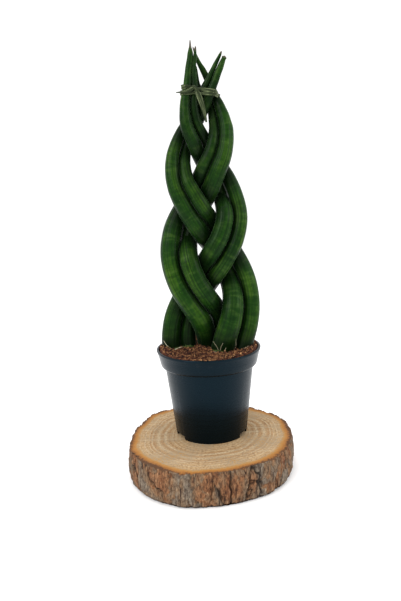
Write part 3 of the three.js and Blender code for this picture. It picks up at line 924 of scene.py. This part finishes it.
def make_sheaths():
    bm = bmesh.new()
    for number, (name, facing, half_width, height) in enumerate(SHEATHS):
        middle, radius = nearest_ring(FINE_LINES[name], 101)
        part = bmesh.new()
        shares = [2 * i / SHEATH_COLUMNS - 1 for i in range(SHEATH_COLUMNS + 1)]
        angles = [math.radians(facing + half_width * share) for share in shares]
        joined(part, [(math.cos(angle), math.sin(angle), 0) for angle in angles])
        places = []
        for row in range(SHEATH_ROWS + 1):
            share = row / SHEATH_ROWS
            flare = radius + (0.5 + 0.9 * share**2) * MM
            place = Matrix.Translation(middle + Vector((0, 0, share * height * MM)))
            places.append(place @ Matrix.Diagonal((flare, flare, 1, 1)))
        sweep(part, places)
        tear(part, middle, facing, half_width, number)
        gather(bm, part)
    return bm


sheaths = finished("leaf_sheaths", make_sheaths(), SHEATH, "first_strand_right_leaf")
papery = sheaths.modifiers.new("sheath thickness", "SOLIDIFY")
papery.thickness, papery.offset = 0.25 * MM, 0.0

# %% [markdown]
# ## The raffia tie
#
# Raffia is a dried strip of palm leaf: flat, a few millimetres wide, dull green going to straw, with
# lengthwise fibres and a crease down it. The finish reads where a point lay on the straight strip, as on
# the leaves, and stretches its noises along it, so the fibres follow every turn of the knot.

# %% Finish: raffia
def raffia_finish():
    raffia = Finish("raffia", 0.6, Specular_IOR_Level=0.2)
    along = raffia.attribute("straight", "Vector")
    fibres = raffia.speckle(raffia.place((3600, 3600, 90), source=along), 1, 3, 0.6)
    stains = raffia.speckle(raffia.place((900, 900, 50), source=along), 1, 3, 0.55)
    straw = raffia.ramp(stains, (0.38, paint(22, 31, 10)), (0.5, paint(48, 61, 26)),
                        (0.64, paint(126, 136, 98)))
    raffia.colour(raffia.layer(straw, paint(16, 24, 7), fibres, (0.4, 0.85), (0.56, 0.0)))
    raffia.relief(fibres, 0.5, 0.25)
    return raffia


RAFFIA = raffia_finish()
print("raffia mixed")

# %% [markdown]
# ### The raffia's route
#
# The strip goes twice round all the leaves near their tips. A shrinkwrap modifier could pull a ring on to
# them, but it would follow every hollow, and a tight strip spans the hollows. So for each direction round
# the bundle we take the leaf that reaches furthest, and lay the strip just outside it.

# %% Route the raffia
TIE_HEIGHT = 382  # above the pot's base, in millimetres, as are the sizes below
TIE_SLOPE = -0.12
TIE_WAVE = 0.35


def section_at(rings, level):
    """(middle, radius) where a leaf, given from its root to its tip, passes a level."""
    above = next((i for i, (middle, _) in enumerate(rings) if middle.z > level), len(rings) - 1)
    (low, low_radius), (high, high_radius) = rings[max(above - 1, 0)], rings[above]
    share = min(1.0, max(0.0, (level - low.z) / max(high.z - low.z, 1e-6)))
    return low.lerp(high, share), low_radius + (high_radius - low_radius) * share


def spread(across):
    """How far the windings part: 1 at the bundle's left, least at the knot, a little at the right."""
    return 0.3 + 0.7 * smooth_step(-2, -13, across) + 0.15 * smooth_step(-2, 14, across)


def round_the_leaves(offset_mm, rise):
    """A closed route round all the leaves, starting behind the knot and running anticlockwise."""
    route = []
    usual_level = POT_PLACE.z + (TIE_HEIGHT + 0.6 * rise) * MM
    sections = [section_at(rings, usual_level) for rings in FINE_LINES.values()]
    for degrees in range(-96, 270, 6):
        out = Vector((math.cos(math.radians(degrees)), math.sin(math.radians(degrees)), 0))
        middle, radius = max(sections, key=lambda s: s[0].dot(out) + s[1])
        point = middle + out * (radius + offset_mm * MM)
        across = (point.x - POT_PLACE.x) / MM
        wave = TIE_WAVE * noise.noise(Vector((across / 6, point.y / MM / 6, rise)))
        point.z = POT_PLACE.z + (TIE_HEIGHT + TIE_SLOPE * across + rise * spread(across) + wave) * MM
        route.append(point)
    return route


TIE_FRONT = min(point.y for point in round_the_leaves(0.9, 0))
print("the raffia passes", round((POT_PLACE.y - TIE_FRONT) / MM, 1), "mm in front of the pot's axis")

# %% [markdown]
# ### One strip
#
# A strip has nine vertices across, folded along the middle and slightly wavy. Swept like the leaves, it
# would twist with the route. It has to lie flat on what it goes round, so each row of vertices is turned
# to face outwards there, with a small random roll. A modifier gives the sheet its thickness later.

# %% Sweep a strip
STRIP_ROLL = 0.5
STRIP_WAVE = 0.12


def strip_section(part, width_mm, fold):
    """The strip's section: a row of nine vertices, which also note where they lie across it."""
    straight = part.verts.layers.float_vector.new("straight")
    shares = [i / 4 - 1 for i in range(9)]
    lifts = [fold * (1 - abs(share)) + STRIP_WAVE * math.sin(7 * share) for share in shares]
    points = [Vector((share * width_mm / 2, lift, 0)) * MM for share, lift in zip(shares, lifts)]
    for v in joined(part, points)[0]:
        v[straight] = (v.co.x, 0, 0)
    return straight


def winding_width(point):
    across = (point.x - POT_PLACE.x) / MM
    return 1 + 0.75 * smooth_step(0, 14, across) + 0.8 * smooth_step(-4, -11, across)


def even_width(_point):
    return 1.0


def strip(bm, route, width_mm, facing, fold, start=1.0, end=1.0, parts=3, widening=even_width):
    """A flat strip along the route that faces as facing says and whose ends narrow to a share."""
    line = along_line(route, parts)
    places, lengths = [], [0.0]
    for before, after in zip(line, line[1:]):
        lengths.append(lengths[-1] + (after - before).length)
    for i, (point, before, after) in enumerate(zip(line, [line[0], *line], [*line[1:], line[-1]])):
        ahead = (after - before).normalized()
        side = ahead.cross(facing(point)).normalized()
        turn = Matrix((side, side.cross(ahead), ahead)).transposed().to_4x4()
        roll = Matrix.Rotation(STRIP_ROLL * noise.noise(Vector((i / 5, width_mm * 9, 0))), 4, "Z")
        share = i / (len(line) - 1)
        taper = (1 - (1 - end) * share**3) * (start + (1 - start) * smooth_step(0, 0.3, share))
        width = Matrix.Diagonal((taper * widening(point), 1, 1, 1))
        places.append(Matrix.Translation(point) @ turn @ roll @ width)
    part = bmesh.new()
    straight = strip_section(part, width_mm, fold)

    def note(v, step):
        v[straight] = (v[straight].x, v[straight].y, lengths[step])

    sweep(part, places, note)
    gather(bm, part)


print("strips ready")

# %% [markdown]
# ### The knot
#
# The knot is a few short strips over each other: two bent pieces and two closed turns round them, a short
# end on the left, and a long one that hangs down with a thin split strand beside it. Each is a handful of
# points, measured outwards from the front of the windings, so the knot always sits on the tie.

# %% Tie the knot
STRIP_THICKNESS = 0.35
WINDINGS = [(0.5, 2.9, 2.4), (0.9, -3.2, 2.6)]  # (distance from the leaves, rise at the left, width)
# Loose strips: (width, fold, how much of the width is left at the end, [(x, out, z), ...]), in millimetres
# from the pot's axis, the front of the windings and the pot's base
LOOSE_STRIPS = [
    (5.6, 0.9, 0.3, [(-1.8, 1.0, 383), (-0.6, 2.2, 379.5), (2.0, 2.4, 372.5), (5.2, 2.5, 361),
                     (7.4, 1.8, 349.5)]),
    (1.8, 0.4, 0.3, [(0.4, 1.0, 381), (2.4, 1.6, 375), (5.0, 1.8, 365), (6.8, 1.4, 356), (7.2, 1.0, 351)]),
    (3.8, 0.6, 0.15, [(-3.5, 1.6, 385.4), (-6.5, 2.2, 383.4), (-10, 2.0, 381.7), (-15, 1.0, 381),
                      (-23, -1, 381.1)]),
    (2.4, 0.5, 0.8, [(-6.0, 1.0, 386.6), (-3.6, 2.6, 385.6), (-0.8, 3.2, 382.6), (1.4, 2.0, 379.6)]),
    (2.2, 0.5, 0.8, [(-4.6, 1.2, 380.2), (-2.2, 2.4, 381.2), (0.4, 2.8, 383.2), (3.2, 1.2, 384.2)]),
]
KNOT_TURNS = [(0.5, 2.4, 1.6, 2.2), (-0.6, 2.1, 2.0, 1.9)]  # (lean, height, depth, width)
KNOT_HEART = (-2, 0.6, 382.4)


def at_knot(x, out, z):
    return Vector((POT_PLACE.x + x * MM, TIE_FRONT - out * MM, POT_PLACE.z + z * MM))


def knot_turn(lean, height, depth):
    """One closed turn of the strip round the others at the knot."""
    x, out, z = KNOT_HEART
    turn = []
    for degrees in range(0, 375, 15):
        angle = math.radians(degrees)
        rise = height * math.sin(angle)
        turn.append(at_knot(x + rise * math.tan(lean), out + depth * math.cos(angle), z + rise))
    return turn


def outward_of_bundle(point):
    middle = Vector((POT_PLACE.x + 2 * MM, POT_PLACE.y + 9 * MM, point.z))
    return (point - middle).normalized()


def outward_of_knot(point):
    return (point - at_knot(*KNOT_HEART)).normalized()


def forward(_point):
    return Vector((0, -1, 0))


def make_tie():
    bm = bmesh.new()
    bm.verts.layers.float_vector.new("straight")
    for distance, rise, width in WINDINGS:
        strip(bm, round_the_leaves(distance, rise), width, outward_of_bundle, 0.35, widening=winding_width)
    for width, fold, end, points in LOOSE_STRIPS:
        strip(bm, [at_knot(*point) for point in points], width, forward, fold, start=0.5, end=end, parts=6)
    for *turn, width in KNOT_TURNS:
        strip(bm, knot_turn(*turn), width, outward_of_knot, 0.3, parts=2)
    return bm


tie = finished("raffia_strips", make_tie(), RAFFIA, "raffia_tie")
thick = tie.modifiers.new("strip thickness", "SOLIDIFY")
thick.thickness, thick.offset, thick.use_even_offset = STRIP_THICKNESS * MM, 0.0, False

# %% [markdown]
# ## The slice of trunk
#
# The slice is sawn across a trunk about 19 cm thick, and no trunk is round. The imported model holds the
# outline as a few dozen corners of its top edge. We read the radius off for every degree, so that the
# finer slice can follow the same outline.

# %% Measure the trunk's outline
SLICE_HEIGHT = 38  # in millimetres


def slice_outline():
    """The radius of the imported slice's top edge, for each whole degree."""
    level = (SLICE_HEIGHT - 0.1) * MM
    corners = [v.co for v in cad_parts["wood_slice"].data.vertices if v.co.z > level]
    rim = sorted({(round(math.degrees(math.atan2(c.y, c.x)) % 360, 3), round(c.xy.length, 6))
                  for c in corners if c.xy.length > 50 * MM})
    ring = [(rim[-1][0] - 360, rim[-1][1]), *rim, (rim[0][0] + 360, rim[0][1])]
    radii = []
    for degree in range(360):
        pairs = zip(ring, ring[1:])
        (a, low), (b, high) = next(pair for pair in pairs if pair[0][0] <= degree < pair[1][0])
        radii.append(low + (high - low) * (degree - a) / (b - a))
    return radii


OUTLINE = slice_outline()


def outline_radius(azimuth):
    place = math.degrees(azimuth) % 360
    low, share = int(place) % 360, place % 1
    return OUTLINE[low] * (1 - share) + OUTLINE[(low + 1) % 360] * share


print("the trunk is", round(min(OUTLINE) / MM), "to", round(max(OUTLINE) / MM), "mm in radius")

# %% [markdown]
# ### Bark
#
# The slice's side is rough bark: long upright plates with dark cracks between them. Its faces are sawn
# flat. Sculpting is the usual way, but noise can do it by rule. One profile, spun with six hundred steps,
# gives enough vertices to move in and out: a cell pattern, stretched upright, makes the plates and the
# cracks, and finer noise makes the flakes. Each vertex notes how deep it lies, so that the finish can
# paint shade into the cracks.

# %% Plan the bark
BARK_RADIUS = 97  # where the noises are read, in millimetres
CHIP_DEPTH = 2.2


def bark_at(azimuth, z):
    """(how far the bark stands out in millimetres, how deep in a crack, 0 to 1, its plate's tone)."""
    x, y = BARK_RADIUS * math.cos(azimuth), BARK_RADIUS * math.sin(azimuth)
    jag = 3.2 * noise.noise(Vector((x, y, z)) / 6) + 5 * noise.noise(Vector((x, y, z)) / 19)
    plate_gaps, plates = noise.voronoi(Vector(((x + jag) / 21, (y - jag) / 21, z / 110)))
    flake_gaps, flakes = noise.voronoi(Vector(((x + jag) / 6.5, (y - jag) / 6.5, z / 17)))
    open_here = 0.25 + 0.75 * smooth_step(-0.15, 0.25, noise.noise(Vector((x / 30, y / 30, z / 40))))
    crack = (1 - smooth_step(0.0, 0.11, plate_gaps[1] - plate_gaps[0])) * open_here
    step = 1 - smooth_step(0.0, 0.12, flake_gaps[1] - flake_gaps[0])
    plate, flake = noise.noise(plates[0] * 5.3), noise.noise(flakes[0] * 7.7)
    ridges = noise.noise(Vector((x / 1.9, y / 1.9, z / 9)))
    grit = noise.noise(Vector((x, y, z)) / 1.4)
    bulge = 1.8 * math.sin(math.pi * min(1.0, max(0.0, z / SLICE_HEIGHT)))
    out = 0.4 + bulge + 0.9 * plate + 1.1 * flake + 0.55 * ridges + 0.3 * grit - 2.9 * crack - 0.45 * step
    return out, min(1.0, crack + 0.25 * step), 0.5 + 0.4 * plate + 0.25 * flake


def chipped(azimuth, z):
    """How much bark is missing at an edge of the slice, in millimetres."""
    x, y = BARK_RADIUS * math.cos(azimuth), BARK_RADIUS * math.sin(azimuth)
    broken = noise.noise(Vector((x / 7, y / 7, z))) + 0.6 * noise.noise(Vector((x / 2.2, y / 2.2, z)))
    return CHIP_DEPTH * smooth_step(-0.05, 0.55, broken)


depths = [bark_at(math.radians(degrees), SLICE_HEIGHT / 2)[0] for degrees in range(360)]
print("the bark stands out by", round(min(depths), 1), "to", round(max(depths), 1), "mm")

# %% Shape the slice
SLICE_STEPS = 600
RING_REACH = 96 * MM  # where the growth rings end, as if the trunk were round


def slice_profile():
    """(share of the outline's radius, height in millimetres) from the underside to the top's middle."""
    underside = [(0, 0), (0.6, 0), (0.93, 0), (0.985, 0)]
    side = [(1, z) for z in range(SLICE_HEIGHT + 1)]
    rim = [(1 - 0.012 * i, SLICE_HEIGHT) for i in range(1, 8)]
    top = [(0.9 - 0.036 * i, SLICE_HEIGHT) for i in range(25)] + [(0, SLICE_HEIGHT)]
    return underside + side + rim + top


def make_slice():
    bm = turned([(share, height * MM) for share, height in slice_profile()], SLICE_STEPS)
    notes = ("painted_bark_shade", "bark", "rings", "tone")
    painted_bark_shade, bark, rings, tone = (bm.verts.layers.float.new(note) for note in notes)
    bmesh.ops.remove_doubles(bm, verts=bm.verts, dist=1e-6)
    for v in bm.verts:
        share, z = v.co.xy.length, v.co.z / MM
        azimuth = math.atan2(v.co.y, v.co.x)
        v[rings] = share * RING_REACH
        reach = share * outline_radius(azimuth)
        drop = 0.06 * (1 + noise.noise(v.co * 700))  # how far the sawn face lies below the level
        near_bark = smooth_step(0.94, 1.0, share)
        if near_bark > 0:
            out, crack, shade = bark_at(azimuth, z)
            side = share > 0.999
            # the crack's depth sets the painted shade in it
            v[bark], v[tone], v[painted_bark_shade] = (1.0, shade, crack) if side else (0.0, shade, 0.0)
            reach += out * MM * near_bark * (1.0 if side and 0 < z < SLICE_HEIGHT else 0.5)
            chip = chipped(azimuth, SLICE_HEIGHT)
            drop += smooth_step(0.97, 1.0, share) * chip
            if side:
                v.co.z -= chip * smooth_step(SLICE_HEIGHT - 7, SLICE_HEIGHT - 1, z) * MM
                drop = 0.0
                under = chipped(azimuth, 0) * smooth_step(5, 0, z)
                reach -= (1.2 * smooth_step(2.2, 0, z) + 0.8 * under) * MM
                # painted contact shadow along the bark's bottom edge
                v[painted_bark_shade] = min(1.0, v[painted_bark_shade] + smooth_step(3.2, 0.4, z))
        v.co.x, v.co.y = reach * math.cos(azimuth), reach * math.sin(azimuth)
        if z > SLICE_HEIGHT - 0.5:
            v.co.z -= drop * MM
    bmesh.ops.recalc_face_normals(bm, faces=bm.faces)
    return bm


SLICE_SHAPE = make_slice()
print("the slice's shape has", len(SLICE_SHAPE.faces), "faces")

# %% [markdown]
# ### Sawn wood and bark
#
# Growth rings are circles round the trunk's middle that follow its uneven outline, so the finish reads
# the distance that each vertex noted, bends it a little with noise, and folds it into light and dark
# bands. The youngest wood under the bark is orange brown. The bark takes its colour from its plates,
# reddish brown or weathered grey, and painted shade turns it nearly black in the cracks and along the bottom
# edge.

# %% Finish: trunk
YOUNG_WOOD = (0.0892, 0.1)  # where the orange brown wood starts and is full, in the noted distance


def growth(finish, reach, per_metre, roughness):
    """Rings that follow the noted distance, so many swings to a metre."""
    along = finish.sums("MULTIPLY", reach, per_metre)
    return finish.add("TexNoise", "Fac", {"noise_dimensions": "1D"}, W=along, Scale=1.0, Detail=2.0,
                      Roughness=roughness)


def wood_colour(trunk):
    """(the wood's fine grain, its thin ring lines, its colour)."""
    wobble = trunk.speckle(trunk.place(), 20, 3, 0.55)
    fine = trunk.speckle(trunk.place((1, 1, 0.2)), 420, 4, 0.65)
    saw = trunk.speckle(trunk.place((14, 300, 10), (1, 0, 0)), 1, 4, 0.6)
    reach = trunk.sums("ADD", trunk.attribute("rings"), trunk.sums("MULTIPLY", wobble, 0.009))
    bands, lines = growth(trunk, reach, 230.0, 0.55), growth(trunk, reach, 700.0, 0.5)
    wood = trunk.ramp(bands, (0.36, paint(160, 126, 88)), (0.5, paint(172, 144, 106)),
                      (0.64, paint(182, 160, 128)))
    wood = trunk.layer(wood, paint(136, 104, 68), lines, (0.52, 0.0), (0.7, 0.35))
    wood = trunk.layer(wood, paint(112, 84, 56), fine, (0.4, 0.6), (0.54, 0.0))
    wood = trunk.layer(wood, paint(184, 168, 140), saw, (0.54, 0.0), (0.7, 0.5))
    stains = trunk.speckle(trunk.place(shift=(4, 4, 0)), 26, 5, 0.65)
    wood = trunk.layer(wood, paint(146, 131, 108), stains, (0.46, 0.0), (0.62, 0.6))
    ragged = trunk.sums("ADD", trunk.rise(reach, *YOUNG_WOOD), trunk.swing(fine, 0.5, 0.9))
    ragged = trunk.sums("ADD", ragged, trunk.swing(stains, 0.45, 0.9))
    rind = trunk.ramp(ragged, (0.25, paint(158, 120, 70)), (0.5, paint(158, 106, 44)),
                      (0.8, paint(132, 82, 34)), (0.95, paint(70, 40, 22)))
    return fine, lines, trunk.layer(wood, rind, ragged, (0.12, 0.0), (0.3, 0.9))


def bark_colour(trunk):
    """(the scales' pattern, the bark's colour)."""
    patches = trunk.speckle(trunk.place((1, 1, 0.5), (2, 8, 3)), 55, 4, 0.6)
    scales = trunk.speckle(trunk.place((1, 1, 0.35), (5, 1, 7)), 420, 5, 0.75)
    seams = trunk.speckle(trunk.place((1, 1, 0.1), (2, 3, 1)), 380, 3, 0.6)
    tone = trunk.blend(0.5, trunk.attribute("tone"), patches)
    bark = trunk.ramp(tone, (0.38, paint(104, 62, 38)), (0.47, paint(138, 96, 64)),
                      (0.54, paint(122, 98, 74)), (0.62, paint(123, 111, 96)))
    bark = trunk.layer(bark, paint(54, 33, 24), scales, (0.38, 0.85), (0.56, 0.0))
    bark = trunk.layer(bark, paint(184, 156, 124), scales, (0.58, 0.0), (0.7, 0.6))
    bark = trunk.layer(bark, paint(30, 18, 14), seams, (0.34, 0.9), (0.42, 0.0))
    # painted shade, nearly black, in the cracks and along the bottom edge
    return scales, trunk.noted(bark, paint(20, 12, 9), "painted_bark_shade", 0.85)


def trunk_finish():
    trunk = Finish("trunk_wood", 0.85, Specular_IOR_Level=0.2)
    fine, lines, wood = wood_colour(trunk)
    scales, bark = bark_colour(trunk)
    is_bark = trunk.attribute("bark")
    trunk.colour(trunk.blend(is_bark, wood, bark))
    trunk.relief(trunk.blend(is_bark, trunk.blend(0.3, fine, lines), scales), 0.6, 0.6)
    return trunk


finished("trunk_slice", SLICE_SHAPE, trunk_finish(), "wood_slice")

# %% [markdown]
# ## Floor and light
#
# A product like this is shown on a white sweep. One wide pale floor and a white world give the even
# surroundings, and three large soft lights shape the round leaves: a key from the front left, a weaker
# one from the right that draws the far edges, and one overhead. Large lights give soft shadows and the
# long dull highlights that a waxy skin has.

# %% Lay the floor and set the lights
FLOOR_REACH = 6
FLOOR_GAP = 0.2 * MM  # keeps the floor clear of the slice's underside
LIT_HEIGHT = 0.25  # the lights aim at this height


def make_floor():
    bm = bmesh.new()
    bmesh.ops.create_grid(bm, x_segments=1, y_segments=1, size=FLOOR_REACH)
    bmesh.ops.translate(bm, vec=(0, 0, -FLOOR_GAP), verts=bm.verts)
    mesh = bpy.data.meshes.new("floor")
    bm.to_mesh(mesh)
    bm.free()
    floor = bpy.data.objects.new("floor", mesh)
    bpy.context.collection.objects.link(floor)
    card = Finish("floor_card", 0.9, Specular_IOR_Level=0.1)
    card.colour(card.blend(card.speckle(card.place(), 5), paint(240, 240, 240), paint(246, 246, 246)))
    mesh.materials.append(card.material)


def soft_light(name, place, size, watts):
    light = bpy.data.objects.new(name, bpy.data.lights.new(name, "AREA"))
    light.data.size, light.data.energy = size, watts
    light.location = place
    light.rotation_mode = "QUATERNION"
    light.rotation_quaternion = (Vector((0, 0, LIT_HEIGHT)) - Vector(place)).to_track_quat("-Z", "Y")
    bpy.context.collection.objects.link(light)


make_floor()
world = bpy.data.worlds.new("studio")
world.use_nodes = True
sky = world.node_tree.nodes["Background"]
sky.inputs["Color"].default_value = (1, 1, 1, 1)
sky.inputs["Strength"].default_value = 1.15
bpy.context.scene.world = world
soft_light("key", (-1.1, -1.0, 1.3), 1.0, 18)
soft_light("side", (1.3, -0.5, 0.9), 0.8, 7)
soft_light("overhead", (0.0, 0.3, 1.8), 1.2, 10)
print("floor and lights set")
